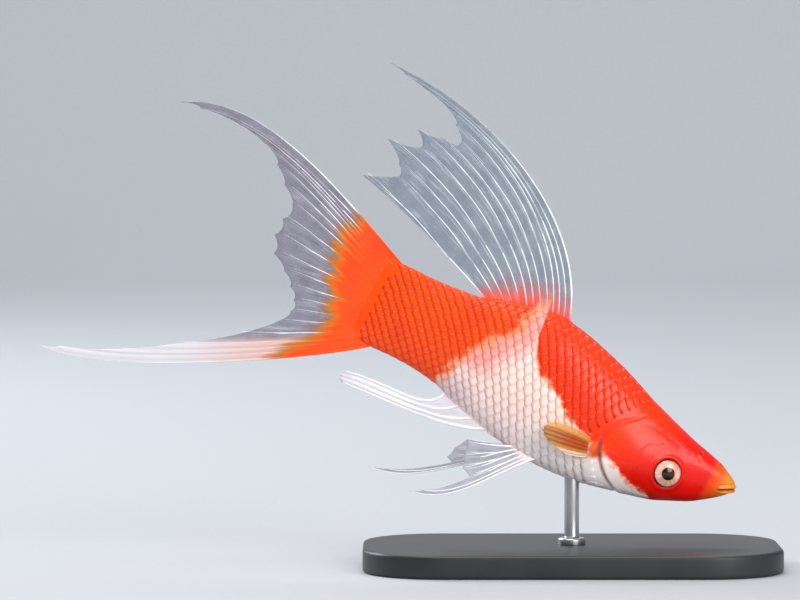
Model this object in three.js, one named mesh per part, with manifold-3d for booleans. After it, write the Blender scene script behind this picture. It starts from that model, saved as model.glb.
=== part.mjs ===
// A male lyretail swordtail with a tall dorsal fin, life size, swimming head down over a plain display stand.
// Millimetres, +Z up. The head points towards +X and the fish's right flank faces -Y.
// The origin is on the floor, at the middle of the stand's underside, straight below its rod.
//
// The fish is built in its own group, whose origin is the tip of the snout. There a point is given by
//   u: distance back from the snout along the body's axis
//   w: distance to the fish's left
//   v: height above the axis
import * as THREE from "three";
import { mergeVertices } from "three/addons/utils/BufferGeometryUtils.js";
import Module from "manifold-3d";

const wasm = await Module();
wasm.setup();

// Driving dimensions
const STANDARD_LENGTH = 59.6; // snout to the end of the flesh, where the tail fin's rays start
const PITCH = THREE.MathUtils.degToRad(27.3); // the snout points down by this much
const GAP = 0.3; // clear space between neighbouring pieces
const RADIAL_SIDES = 28;

const STAND_LENGTH = 62;
const STAND_WIDTH = 36;
const STAND_THICKNESS = 3.5;
const STAND_CORNER = 12;
const STAND_BEVEL = 0.6;
const ROD_RADIUS = 1.1;
const ROD_IN_BASE = 2.2; // how deep the rod's hole in the base is
const ROD_IN_BELLY = 3; // how far the rod reaches into the belly
const ROD_AT = 22; // the rod enters the belly this far back from the snout
const CHIN_TO_STAND = 6.5;
const CHIN_BELOW_SNOUT = 2.2;

const SNOUT_HEIGHT = STAND_THICKNESS + CHIN_TO_STAND + CHIN_BELOW_SNOUT;

// The tail swings gently to the fish's left, from behind the gills to the tips of the tail fin.
const SWAY_START = 20;
const SWAY_LENGTH = 92;
const SWAY_REACH = 4.5;

function sway(u) {
  const share = THREE.MathUtils.clamp((u - SWAY_START) / SWAY_LENGTH, 0, 1);
  return (SWAY_REACH / 2) * (1 - Math.cos(Math.PI * share));
}

// A point of the fish's own group from its place along, across and above the body's axis
function at(u, w, v) {
  return new THREE.Vector3(-u, w + sway(u), v);
}

// Body sections from the snout to the root of the tail fin:
// u, top, bottom, half width, height of the widest place, squareness above it, squareness below it.
// Squareness 2 is an ellipse, more is boxier, and less is leaner.
const SECTIONS = [
  [0.0, -0.1, -0.7, 0.9, -0.4, 2.2, 2.2],
  [0.35, 0.4, -1.35, 1.55, -0.4, 2.3, 2.2],
  [1.2, 0.9, -2.3, 2.05, -0.5, 2.4, 2.2],
  [3.0, 1.8, -3.75, 2.6, -0.8, 2.5, 2.1],
  [5.0, 2.4, -5.15, 3.05, -1.2, 2.5, 2.1],
  [8.0, 3.1, -6.6, 3.65, -1.8, 2.4, 2.1],
  [10.3, 3.75, -7.6, 4.0, -2.2, 2.3, 2.1],
  [14.0, 4.9, -8.6, 4.5, -2.4, 2.1, 2.05],
  [18.0, 6.3, -9.6, 4.85, -2.3, 2.0, 1.95],
  [22.0, 7.8, -10.4, 4.95, -2.0, 1.95, 1.9],
  [26.0, 9.0, -10.8, 4.85, -1.4, 1.95, 1.85],
  [30.0, 10.0, -10.8, 4.6, -0.8, 1.9, 1.85],
  [33.5, 10.4, -10.3, 4.25, -0.3, 1.9, 1.85],
  [38.0, 9.8, -9.1, 3.7, 0.1, 1.9, 1.9],
  [42.0, 8.7, -8.1, 3.2, 0.2, 1.95, 1.9],
  [46.0, 7.65, -7.15, 2.7, 0.2, 2.0, 1.95],
  [50.0, 7.1, -6.55, 2.25, 0.1, 2.0, 2.0],
  [54.0, 6.75, -6.4, 1.8, 0.0, 2.1, 2.1],
  [57.5, 6.8, -6.7, 1.3, 0.0, 2.3, 2.3],
  [STANDARD_LENGTH, 6.6, -6.6, 0.8, 0.0, 2.6, 2.6],
];
// Where the rings of facets lie: close together on the snout, wider on the flank
const RINGS = [
  0, 0.2, 0.5, 0.9, 1.4, 2, 2.8, 3.8, 5, 6.2, 7.4, 8.6, 9.8, 11, 12.3, 13.6, 15, 16.4, 17.8, 19.2, 20.6, 22,
  23.6, 25.4, 27.4, 29.4, 31.4, 33.4, 35.4, 37.4, 39.6, 41.8, 44, 46.2, 48.4, 50.6, 52.8, 55, 57, 58.6,
  STANDARD_LENGTH,
];

// The value of one column of the table at u, on a smooth curve through its rows
function tableValue(rows, column, u) {
  let i = rows.findIndex((row) => row[0] > u) - 1;
  if (i < 0) i = u <= rows[0][0] ? 0 : rows.length - 2;
  const slope = (k) => {
    const a = rows[Math.max(k - 1, 0)];
    const b = rows[Math.min(k + 1, rows.length - 1)];
    return (b[column] - a[column]) / (b[0] - a[0]);
  };
  const [a, b] = [rows[i], rows[i + 1]];
  const span = b[0] - a[0];
  const t = THREE.MathUtils.clamp((u - a[0]) / span, 0, 1);
  const rise = 3 * t * t - 2 * t * t * t;
  return (
    a[column] * (1 - rise) +
    b[column] * rise +
    span * slope(i) * t * (1 - t) * (1 - t) +
    span * slope(i + 1) * t * t * (t - 1)
  );
}

const topOf = (u) => tableValue(SECTIONS, 1, u);
const bottomOf = (u) => tableValue(SECTIONS, 2, u);

// The gill cover stands proud of the flank: an oval swelling on each side of the head
const GILL_COVER = { u: 14.6, v: -3.6, length: 7.2, height: 6.0, rise: 0.4 };

function gillSwelling(u, v) {
  const d = Math.hypot((u - GILL_COVER.u) / GILL_COVER.length, (v - GILL_COVER.v) / GILL_COVER.height);
  return d < 1 ? GILL_COVER.rise * (1 - d * d) * (2 - d) : 0;
}

// A point of the body's surface. The angle is 0 at the fish's left and a quarter turn on the back's ridge.
function bodyPoint(u, angle, { grow = 0, gill = false, inward = 1 } = {}) {
  const column = (k) => tableValue(SECTIONS, k, u);
  const [top, bottom, half, middle] = [column(1) + grow, column(2) - grow, column(3) + grow, column(4)];
  const [c, s] = [Math.cos(angle), Math.sin(angle)];
  const power = 2 / column(s > 0 ? 5 : 6);
  let w = half * Math.sign(c) * Math.abs(c) ** power * inward;
  const v = middle + (s > 0 ? top - middle : middle - bottom) * Math.sign(s) * Math.abs(s) ** power * inward;
  if (gill) w += Math.sign(c) * gillSwelling(u, v) * Math.min(1, Math.abs(c) * 2);
  const ahead = Math.max(0, 1 - u);
  const behind = Math.max(0, u - STANDARD_LENGTH + 1);
  return at(u + grow * (behind - ahead), w, v);
}

// A closed manifold solid from a geometry, turned to face outwards
function solid(geometry) {
  const bare = geometry.clone();
  bare.deleteAttribute("normal");
  bare.deleteAttribute("uv");
  const merged = mergeVertices(bare, 1e-4);
  const triVerts = new Uint32Array(merged.index.array);
  const vertProperties = merged.attributes.position.array;
  const make = () => new wasm.Manifold(new wasm.Mesh({ numProp: 3, vertProperties, triVerts }));
  const made = make();
  if (made.volume() > 0) return made;
  for (let i = 0; i < triVerts.length; i += 3) {
    [triVerts[i + 1], triVerts[i + 2]] = [triVerts[i + 2], triVerts[i + 1]];
  }
  return make();
}

// The largest closed surface of a solid, which drops loose scraps
function largest(made) {
  return made.decompose().reduce((a, b) => (a.volume() > b.volume() ? a : b));
}

function geometryOf(made) {
  const mesh = made.getMesh();
  const positions = new Float32Array(mesh.numVert * 3);
  for (let i = 0; i < mesh.numVert; i++) {
    positions.set(mesh.vertProperties.subarray(i * mesh.numProp, i * mesh.numProp + 3), i * 3);
  }
  const geometry = new THREE.BufferGeometry();
  geometry.setAttribute("position", new THREE.BufferAttribute(positions, 3));
  geometry.setIndex(new THREE.BufferAttribute(mesh.triVerts, 1));
  geometry.computeVertexNormals();
  return geometry;
}

// The whole body as one solid: a cylinder whose rings are laid on the body's sections
function bodySolid(options) {
  const geometry = new THREE.CylinderGeometry(1, 1, 1, RADIAL_SIDES, RINGS.length - 1);
  const position = geometry.attributes.position;
  const corner = new THREE.Vector3();
  for (let i = 0; i < position.count; i++) {
    corner.fromBufferAttribute(position, i);
    const u = RINGS[Math.round((0.5 - corner.y) * (RINGS.length - 1))];
    const inward = Math.hypot(corner.x, corner.z) > 0.5 ? 1 : 0;
    const p = bodyPoint(u, Math.atan2(corner.x, corner.z), { ...options, inward });
    position.setXYZ(i, p.x, p.y, p.z);
  }
  return solid(geometry);
}

// A straight block right through the fish from side to side, over an outline of [u, v] points
const BLOCK_WIDTH = 60;

function block(outline) {
  const shape = new THREE.Shape(outline.map(([u, v]) => new THREE.Vector2(-u, v)));
  const geometry = new THREE.ExtrudeGeometry(shape, { depth: BLOCK_WIDTH, bevelEnabled: false });
  geometry.translate(0, 0, -BLOCK_WIDTH / 2);
  geometry.rotateX(Math.PI / 2);
  return solid(geometry);
}

function ellipsoid(radii, place, turn, segments = [18, 10]) {
  const geometry = new THREE.SphereGeometry(1, ...segments);
  geometry.scale(...radii);
  geometry.rotateZ(turn);
  geometry.translate(place.x, place.y, place.z);
  return solid(geometry);
}

// A round tube along a smooth curve through the points
function tube(points, radius, sides, steps) {
  const shape = new THREE.Shape().absarc(0, 0, radius, 0, 2 * Math.PI);
  const extrudePath = new THREE.CatmullRomCurve3(points);
  const options = { steps, extrudePath, curveSegments: sides / 2, bevelEnabled: false };
  return solid(new THREE.ExtrudeGeometry(shape, options));
}

const body = bodySolid();
const grownBody = bodySolid({ grow: GAP });

// Cuts between head, trunk and tail stalk. The first follows the free edge of the gill cover.
const GILL_EDGE = new THREE.SplineCurve(
  [
    [14.6, 16],
    [14.8, 6],
    [17.2, 2.7],
    [19.9, 0.2],
    [21.0, -2.6],
    [20.2, -5.0],
    [18.2, -7.2],
    [15.4, -8.8],
    [13.2, -10.2],
    [12.6, -16],
  ].map(([u, v]) => new THREE.Vector2(u, v)),
)
  .getPoints(22)
  .map((p) => [p.x, p.y]);
const STALK_FROM = 46.6;
const FAR = 20; // well outside the body

const behindGills = GILL_EDGE.map(([u, v]) => [u + GAP, v]);
const headBlock = block([...GILL_EDGE, [-FAR, -FAR], [-FAR, FAR]]);
const trunkBlock = block([...behindGills, [STALK_FROM, -FAR], [STALK_FROM, FAR]]);
const stalkBlock = block([
  [STALK_FROM + GAP, -FAR],
  [STANDARD_LENGTH + FAR, -FAR],
  [STANDARD_LENGTH + FAR, FAR],
  [STALK_FROM + GAP, FAR],
]);

// Eyes: flattened balls in sockets, each with the lens standing a little proud and a low rim of skin round it
const EYE = { u: 10.3, v: -2.8, radius: 2.2, depth: 1.1, sunk: 0.5, turn: 0.16 };
const LENS_RADIUS = 1.0;
const LENS_PROUD = 0.12;
const EYE_RIM = { radius: 2.6, tube: 0.26, sunk: 0.1 };

function eyePlace(side, sunk) {
  const surface = bodyPoint(EYE.u, 0, { gill: true }).y;
  return at(EYE.u, side * (surface - sunk), EYE.v);
}

function eyeSolid(side) {
  const ball = ellipsoid([EYE.radius, EYE.depth, EYE.radius], eyePlace(side, EYE.sunk), -side * EYE.turn);
  const lensDepth = EYE.sunk - EYE.depth - LENS_PROUD + LENS_RADIUS;
  return ball.add(ellipsoid([LENS_RADIUS, LENS_RADIUS, LENS_RADIUS], eyePlace(side, lensDepth), 0, [12, 8]));
}

function eyeSocket(side) {
  const radius = EYE.radius + GAP;
  return ellipsoid([radius, EYE.depth + GAP, radius], eyePlace(side, EYE.sunk), -side * EYE.turn);
}

function eyeRim(side) {
  const geometry = new THREE.TorusGeometry(EYE_RIM.radius, EYE_RIM.tube, 5, 18);
  geometry.rotateX(Math.PI / 2);
  geometry.rotateZ(-side * EYE.turn);
  const place = eyePlace(side, EYE_RIM.sunk);
  geometry.translate(place.x, place.y, place.z);
  return solid(geometry);
}

// Mouth: small, at the very tip and turned up, with the lower lip in front of the upper one
const MOUTH_LINE = [
  [2.1, 1.9, -1.5],
  [1.2, 1.7, -1.05],
  [0.35, 1.0, -0.6],
  [0.05, 0, -0.45],
];
const LIP_RADIUS = 0.42;
const UPPER_LIP = { back: 0.3, up: 0.42 };
const LOWER_LIP = { back: -0.1, up: -0.42 };
const MOUTH_SLIT_RADIUS = 0.16;

function mouthTube({ back = 0, up = 0, radius, out = 0 }) {
  const half = MOUTH_LINE.map(([u, w, v]) => [u + back - out, w + (w > 0 ? out : 0), v + up]);
  const mirrored = half.slice(0, -1).reverse();
  const points = [...half.map(([u, w, v]) => at(u, w, v)), ...mirrored.map(([u, w, v]) => at(u, -w, v))];
  return tube(points, radius, 8, 12);
}

const NOSTRIL = { u: 3.3, w: 1.35, radius: 0.34 };
const NOSTRIL_RIM = { radius: 0.46, tube: 0.16 };

function nostril(side) {
  const place = at(NOSTRIL.u, side * NOSTRIL.w, topOf(NOSTRIL.u) - 0.1);
  const rim = new THREE.TorusGeometry(NOSTRIL_RIM.radius, NOSTRIL_RIM.tube, 4, 8);
  rim.translate(place.x, place.y, place.z);
  const pit = ellipsoid([NOSTRIL.radius, NOSTRIL.radius, NOSTRIL.radius * 1.6], place, 0, [8, 6]);
  return { rim: solid(rim), pit };
}

function headSolid() {
  let head = bodySolid({ gill: true }).intersect(headBlock);
  for (const lip of [UPPER_LIP, LOWER_LIP]) head = head.add(mouthTube({ ...lip, radius: LIP_RADIUS }));
  head = head.subtract(mouthTube({ radius: MOUTH_SLIT_RADIUS, out: 0.3 }));
  for (const side of [-1, 1]) {
    const { rim, pit } = nostril(side);
    head = head.add(eyeRim(side)).subtract(eyeSocket(side)).add(rim).subtract(pit);
  }
  return largest(head);
}

// Fins. Each is a thin web stiffened by rays, spread between its leading and trailing edges. Those are cubic
// curves of four [u, w, v] points. The rays' roots are evenly spaced. The tips give how far across the fin
// each ray ends, from 0 at the leading edge to 1 at the trailing edge, and its reach along them.
const edge = (points) => new THREE.CubicBezierCurve3(...points.map((p) => new THREE.Vector3(...p)));
const flat = (points) => points.map(([u, v]) => [u, 0, v]);

// Rays that end near an edge draw towards it early, by this power
const GATHER = 1.6;

function acrossAt({ root, across }, along) {
  return across + (root - across) * (1 - along) ** GATHER;
}

// The middle line of the web between two rays. Its end lies midway between their tips, drawn in by the notch.
function webLine(a, b, notch) {
  const reach = ((a.reach + b.reach) / 2) * notch;
  const [nearA, nearB] = [a, b].map((ray) => acrossAt(ray, Math.min(1, reach / ray.reach)));
  return { root: (a.root + b.root) / 2, across: (nearA + nearB) / 2, reach };
}

// Rays and web lines in turn, each as a function from a share of its length to a point and the normal there
function finLines({ lead, trail, tips, notch = 0.97 }) {
  const [first, last] = [edge(lead), edge(trail)];
  const rays = tips.map(([across, reach], i) => ({ root: i / (tips.length - 1), across, reach }));
  const lines = rays.flatMap((ray, i) => (i === 0 ? [ray] : [webLine(rays[i - 1], ray, notch), ray]));
  const place = (across, reach) => {
    const p = first.getPoint(reach).lerp(last.getPoint(reach), across);
    return at(p.x, p.y, p.z);
  };
  return lines.map((line) => (along) => {
    const [across, reach] = [acrossAt(line, along), line.reach * along];
    const normal = place(1, reach).sub(place(0, reach));
    normal.cross(place(across, reach + 0.01).sub(place(across, reach - 0.01)));
    return { point: place(across, reach), normal: normal.normalize() };
  });
}

const RAY_HALF = 0.42; // half of the fin's thickness at a ray's root, and between the rays
const WEB_HALF = 0.26;
const RAY_HALF_AT_TIP = 0.3;
const WEB_HALF_AT_TIP = 0.24;

function finSheet(lines, rows) {
  const columns = lines.length - 1;
  const middle = lines.map((line) => Array.from({ length: rows + 1 }, (_, r) => line(r / rows)));
  const corner = (c, r) => c * (rows + 1) + r;
  const count = corner(columns, rows) + 1;
  const positions = new Float32Array(count * 6);
  const front = [];
  for (let c = 0; c <= columns; c++) {
    const [root, tip] = c % 2 === 0 ? [RAY_HALF, RAY_HALF_AT_TIP] : [WEB_HALF, WEB_HALF_AT_TIP];
    for (let r = 0; r <= rows; r++) {
      const { point, normal } = middle[c][r];
      const half = THREE.MathUtils.lerp(root, tip, r / rows);
      positions.set(point.clone().addScaledVector(normal, half).toArray(), corner(c, r) * 3);
      positions.set(point.clone().addScaledVector(normal, -half).toArray(), (corner(c, r) + count) * 3);
      if (c === columns || r === rows) continue;
      // Each cell is parted along its shorter diagonal
      const [i, j, k, l] = [corner(c, r), corner(c + 1, r), corner(c + 1, r + 1), corner(c, r + 1)];
      const rising = point.distanceTo(middle[c + 1][r + 1].point);
      const falling = middle[c + 1][r].point.distanceTo(middle[c][r + 1].point);
      front.push(...(rising < falling ? [i, j, k, i, k, l] : [i, j, l, j, k, l]));
    }
  }
  const back = front.map((k) => k + count);
  for (let i = 0; i < back.length; i += 3) [back[i + 1], back[i + 2]] = [back[i + 2], back[i + 1]];
  const outline = [];
  for (let c = 0; c < columns; c++) outline.push(corner(c, 0));
  for (let r = 0; r < rows; r++) outline.push(corner(columns, r));
  for (let c = columns; c > 0; c--) outline.push(corner(c, rows));
  for (let r = rows; r > 0; r--) outline.push(corner(0, r));
  const rim = outline.flatMap((p, k) => {
    const q = outline[(k + 1) % outline.length];
    return [q, p, q + count, p, p + count, q + count];
  });
  const geometry = new THREE.BufferGeometry();
  geometry.setAttribute("position", new THREE.BufferAttribute(positions, 3));
  geometry.setIndex([...front, ...back, ...rim]);
  return solid(geometry);
}

// A fin clear of the body by the gap, along a root that follows the skin
function finSolid(fin, rows = 12) {
  return finSheet(finLines(fin), rows).subtract(grownBody);
}

// Dorsal fin: 13 rays on the highest part of the back. The first ones run out into a long filament.
const DORSAL = {
  lead: flat([
    [32.7, 8.9],
    [36.8, 25.5],
    [58.8, 33.3],
    [74.3, 32.2],
  ]),
  trail: flat([
    [43.2, 6.4],
    [48.2, 9.2],
    [64.5, 14.4],
    [70.3, 15.5],
  ]),
  tips: [
    [0, 1],
    [0.035, 0.95],
    [0.055, 0.88],
    [0.08, 0.79],
    [0.155, 0.735],
    [0.26, 0.69],
    [0.32, 0.75],
    [0.385, 0.83],
    [0.5, 0.79],
    [0.6, 0.925],
    [0.72, 0.825],
    [0.82, 0.81],
    [1, 1],
  ],
};

// Tail fin: a short web in the middle, a long filament above and the sword below
const TAIL = {
  lead: flat([
    [57.4, 5.8],
    [68.9, 10.2],
    [88.4, 20.3],
    [99.4, 12.7],
  ]),
  trail: flat([
    [56.8, -5.6],
    [62.2, -11.0],
    [94.2, -30.8],
    [101.9, -29.1],
  ]),
  tips: [
    [0, 1],
    [0.025, 0.91],
    [0.033, 0.815],
    [0.04, 0.72],
    [0.06, 0.62],
    [0.095, 0.58],
    [0.148, 0.53],
    [0.2, 0.48],
    [0.28, 0.487],
    [0.36, 0.487],
    [0.44, 0.465],
    [0.505, 0.415],
    [0.575, 0.38],
    [0.645, 0.355],
    [0.71, 0.35],
    [0.78, 0.375],
    [0.865, 0.465],
    [0.918, 0.6],
    [0.955, 0.745],
    [0.973, 0.9],
    [1, 1],
  ],
};
const tailLines = finLines(TAIL);
const UPPER_LOBE_LINE = 13; // the web lines at which the fin is parted in three
const SWORD_LINE = 29;

// One of those lines, moved up by some, as [u, v] points from inside the stalk to past the fin's margin
function partingLine(index, up) {
  const points = [0, 0.25, 0.5, 0.75, 1].map((along) => tailLines[index](along).point);
  const [before, end] = points.slice(-2);
  points.push(end.clone().addScaledVector(end.clone().sub(before), 6));
  return points.map((p) => [-p.x, p.z + up]);
}

function tailFinSolids() {
  const whole = finSolid(TAIL, 11);
  const [left, right] = [STANDARD_LENGTH - FAR, STANDARD_LENGTH + 3 * FAR];
  const aboveLine = (index) => block([...partingLine(index, GAP / 2), [right, 3 * FAR], [left, 3 * FAR]]);
  const belowLine = (index) => block([...partingLine(index, -GAP / 2), [right, -3 * FAR], [left, -3 * FAR]]);
  return {
    tail_fin_upper_lobe: whole.intersect(aboveLine(UPPER_LOBE_LINE)),
    tail_fin_middle: whole.intersect(belowLine(UPPER_LOBE_LINE)).intersect(aboveLine(SWORD_LINE)),
    tail_fin_sword: whole.intersect(belowLine(SWORD_LINE)),
  };
}

// Anal fin: the male's is a long, straight strap with a blunt end
const ANAL = {
  lead: flat([
    [35.4, -8.6],
    [40.5, -12.4],
    [50.0, -12.3],
    [59.6, -13.2],
  ]),
  trail: flat([
    [44.4, -6.2],
    [44.8, -12.4],
    [52.0, -9.5],
    [59.7, -11.6],
  ]),
  tips: [
    [0, 0.985],
    [0.3, 1],
    [0.7, 1],
    [1, 0.985],
  ],
  notch: 1,
};

// Paired fins, given for the fish's left. On its right the w of every point is turned over.
function onSide(fin, side) {
  const turn = (points) => points.map(([u, w, v]) => [u, side * w, v]);
  return { ...fin, lead: turn(fin.lead), trail: turn(fin.trail) };
}

// Pelvic fins: one ray drawn out into a curved filament, and a small web behind it
const PELVIC = {
  trail: [
    [31.6, 1.0, -9.6],
    [33.6, 1.5, -10.6],
    [36.0, 2.0, -11.5],
    [38.4, 2.4, -12.2],
  ],
  tips: [
    [0, 1],
    [0.07, 0.92],
    [0.28, 0.58],
    [0.52, 0.74],
    [0.76, 0.86],
    [1, 1],
  ],
};
const LEFT_PELVIC_LEAD = [
  [28.0, 1.2, -9.6],
  [36.5, 2.6, -12.9],
  [41.0, 3.6, -22.1],
  [49.7, 4.2, -22.8],
];
const RIGHT_PELVIC_LEAD = [
  [28.0, 1.2, -9.6],
  [33.1, 3.4, -14.4],
  [36.1, 4.6, -21.9],
  [43.0, 4.8, -22.5],
];

// Pectoral fins: small rounded fans behind the gill covers, folded back along the flank
const PECTORAL = {
  lead: [
    [21.6, 4.0, -3.7],
    [23.6, 5.5, -2.9],
    [27.0, 6.6, -3.0],
    [30.6, 7.3, -3.9],
  ],
  trail: [
    [21.2, 3.8, -5.7],
    [22.6, 5.2, -6.6],
    [25.0, 6.5, -7.2],
    [28.4, 7.5, -7.4],
  ],
  tips: [
    [0, 0.8],
    [0.12, 0.92],
    [0.27, 0.99],
    [0.43, 1.02],
    [0.59, 1],
    [0.74, 0.93],
    [0.88, 0.81],
    [1, 0.65],
  ],
};

// The fish's group, pitched about its snout and carried so that the rod stands at the origin
const fish = new THREE.Group();
const bellyAtRod = at(ROD_AT, 0, bottomOf(ROD_AT)).applyAxisAngle(new THREE.Vector3(0, 1, 0), PITCH);
fish.rotation.y = PITCH;
fish.position.set(-bellyAtRod.x, 0, SNOUT_HEIGHT);
fish.updateMatrixWorld(true);

// Stand: a flat base with rounded ends and one short rod that enters the belly
const rodTop = SNOUT_HEIGHT + bellyAtRod.z + ROD_IN_BELLY;
const rodBottom = STAND_THICKNESS - ROD_IN_BASE + GAP;

function upright(radius, bottom, top, sides = 20) {
  const geometry = new THREE.CylinderGeometry(radius, radius, top - bottom, sides);
  geometry.rotateX(Math.PI / 2);
  geometry.translate(0, 0, (top + bottom) / 2);
  return geometry;
}

function standBase() {
  const inset = STAND_BEVEL;
  const [x, y, corner] = [STAND_LENGTH / 2 - inset, STAND_WIDTH / 2 - inset, STAND_CORNER - inset];
  const quarter = Math.PI / 2;
  const outline = new THREE.Shape();
  outline.absarc(x - corner, y - corner, corner, 0, quarter);
  outline.absarc(corner - x, y - corner, corner, quarter, 2 * quarter);
  outline.absarc(corner - x, corner - y, corner, 2 * quarter, 3 * quarter);
  outline.absarc(x - corner, corner - y, corner, 3 * quarter, 4 * quarter);
  const geometry = new THREE.ExtrudeGeometry(outline, {
    depth: STAND_THICKNESS - 2 * STAND_BEVEL,
    bevelThickness: STAND_BEVEL,
    bevelSize: STAND_BEVEL,
    bevelSegments: 2,
    curveSegments: 5,
  });
  geometry.translate(0, 0, STAND_BEVEL);
  const hole = upright(ROD_RADIUS + GAP, STAND_THICKNESS - ROD_IN_BASE, STAND_THICKNESS + 1);
  return solid(geometry).subtract(solid(hole));
}

function trunkSolid() {
  const hole = upright(ROD_RADIUS + GAP, rodBottom, rodTop + GAP);
  hole.applyMatrix4(fish.matrixWorld.clone().invert());
  return body.intersect(trunkBlock).subtract(solid(hole));
}

// Colours and finishes
const finish = (color, roughness) => new THREE.MeshStandardMaterial({ color, roughness, metalness: 0 });
const HEAD_RED = finish(0xe6230d, 0.35);
const FLANK_WHITE = finish(0xf0d8ce, 0.35);
const STALK_ORANGE = finish(0xf25a0a, 0.35);
const FIN_GREY = finish(0xb9bcc4, 0.4);
const FIN_AMBER = finish(0xd0742c, 0.4);
const EYE_IRIS = finish(0xf0c0ac, 0.15);
const STAND_BLACK = finish(0x26272a, 0.5);
const ROD_STEEL = new THREE.MeshStandardMaterial({ color: 0xb8babd, roughness: 0.3, metalness: 1 });

function piece(name, made, material) {
  const mesh = new THREE.Mesh(made.isBufferGeometry ? made : geometryOf(largest(made)), material);
  mesh.name = name;
  return mesh;
}

fish.add(piece("head", headSolid(), HEAD_RED));
fish.add(piece("trunk", trunkSolid(), FLANK_WHITE));
fish.add(piece("tail_stalk", body.intersect(stalkBlock), STALK_ORANGE));
fish.add(piece("dorsal_fin", finSolid(DORSAL), FIN_GREY));
for (const [name, made] of Object.entries(tailFinSolids())) fish.add(piece(name, made, FIN_GREY));
fish.add(piece("anal_fin", finSolid(ANAL), FIN_GREY));
for (const [name, side, lead] of [
  ["left", 1, LEFT_PELVIC_LEAD],
  ["right", -1, RIGHT_PELVIC_LEAD],
]) {
  fish.add(piece("eye_" + name, eyeSolid(side), EYE_IRIS));
  fish.add(piece("pelvic_fin_" + name, finSolid(onSide({ ...PELVIC, lead }, side), 15), FIN_GREY));
  fish.add(piece("pectoral_fin_" + name, finSolid(onSide(PECTORAL, side), 6), FIN_AMBER));
}

const model = new THREE.Group();
model.add(fish);
model.add(piece("stand_base", standBase(), STAND_BLACK));
model.add(piece("stand_rod", upright(ROD_RADIUS, rodBottom, rodTop), ROD_STEEL));

export default model;
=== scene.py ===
import math

import bmesh
import bpy
import numpy as np
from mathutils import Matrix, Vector


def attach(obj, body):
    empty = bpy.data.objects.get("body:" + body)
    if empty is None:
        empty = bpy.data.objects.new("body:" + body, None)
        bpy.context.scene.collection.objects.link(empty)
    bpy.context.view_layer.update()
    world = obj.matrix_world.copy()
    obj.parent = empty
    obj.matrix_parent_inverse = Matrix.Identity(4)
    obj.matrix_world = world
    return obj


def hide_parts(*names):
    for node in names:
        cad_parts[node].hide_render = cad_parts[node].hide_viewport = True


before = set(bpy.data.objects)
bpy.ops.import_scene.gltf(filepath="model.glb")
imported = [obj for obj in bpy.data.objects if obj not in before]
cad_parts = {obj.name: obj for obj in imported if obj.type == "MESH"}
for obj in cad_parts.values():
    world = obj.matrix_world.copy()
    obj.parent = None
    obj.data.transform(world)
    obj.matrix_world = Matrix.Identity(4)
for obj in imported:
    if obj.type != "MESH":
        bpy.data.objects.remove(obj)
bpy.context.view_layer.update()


# The skin: one smooth hide over head, trunk and tail stalk, red and orange on the back and white on the flank.
# It is cast as one piece: lips, nostrils, gill covers and eye rims are raised in its own surface.
MM = 0.001  # sizes on the fish are in millimetres, in its own frame
SNOUT = Vector((0.02432, 0, 0.0122))  # tip of the snout
PITCH = math.radians(27.3)  # the fish swims head down
BODY_END = 61.4  # the flesh thins out over the roots of the tail fin's rays
SWAY_START, SWAY_LENGTH, SWAY_REACH = 20, 92, 4.5

# u back from the snout, top, bottom, half width, height of the widest place, squareness above and below it
SECTIONS = np.array([
    (0.0, -0.1, -0.7, 0.9, -0.4, 2.2, 2.2),
    (0.35, 0.4, -1.35, 1.55, -0.4, 2.3, 2.2),
    (1.2, 0.9, -2.3, 2.05, -0.5, 2.4, 2.2),
    (3.0, 1.8, -3.75, 2.6, -0.8, 2.5, 2.1),
    (5.0, 2.4, -5.15, 3.05, -1.2, 2.5, 2.1),
    (8.0, 3.1, -6.6, 3.65, -1.8, 2.4, 2.1),
    (10.3, 3.75, -7.6, 4.0, -2.2, 2.3, 2.1),
    (14.0, 4.9, -8.6, 4.5, -2.4, 2.1, 2.05),
    (18.0, 6.3, -9.6, 4.85, -2.3, 2.0, 1.95),
    (22.0, 7.8, -10.4, 4.95, -2.0, 1.95, 1.9),
    (26.0, 9.0, -10.8, 4.85, -1.4, 1.95, 1.85),
    (30.0, 10.0, -10.8, 4.6, -0.8, 1.9, 1.85),
    (33.5, 10.4, -10.3, 4.25, -0.3, 1.9, 1.85),
    (38.0, 9.8, -9.1, 3.7, 0.1, 1.9, 1.9),
    (42.0, 8.7, -8.1, 3.2, 0.2, 1.95, 1.9),
    (46.0, 7.65, -7.15, 2.7, 0.2, 2.0, 1.95),
    (50.0, 7.1, -6.55, 2.25, 0.1, 2.0, 2.0),
    (54.0, 6.75, -6.4, 1.8, 0.0, 2.1, 2.1),
    (57.5, 6.7, -6.55, 1.2, 0.0, 2.3, 2.3),
    (59.6, 6.5, -6.4, 0.7, 0.0, 2.5, 2.5),
    (BODY_END, 5.6, -5.6, 0.2, 0.0, 2.6, 2.6),
])


def smooth_through(xs, ys, at):
    """A smooth curve through the points, one value for each of at."""
    xs, ys = np.asarray(xs, float), np.asarray(ys, float)
    slopes = np.empty_like(ys)
    slopes[1:-1] = (ys[2:] - ys[:-2]) / (xs[2:] - xs[:-2])
    slopes[0] = (ys[1] - ys[0]) / (xs[1] - xs[0])
    slopes[-1] = (ys[-1] - ys[-2]) / (xs[-1] - xs[-2])
    at = np.clip(at, xs[0], xs[-1])
    i = np.clip(np.searchsorted(xs, at, side="right") - 1, 0, len(xs) - 2)
    span = xs[i + 1] - xs[i]
    t = (at - xs[i]) / span
    rise = 3 * t**2 - 2 * t**3
    ease = span * (slopes[i] * t * (1 - t) ** 2 + slopes[i + 1] * t * t * (t - 1))
    return ys[i] * (1 - rise) + ys[i + 1] * rise + ease


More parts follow.
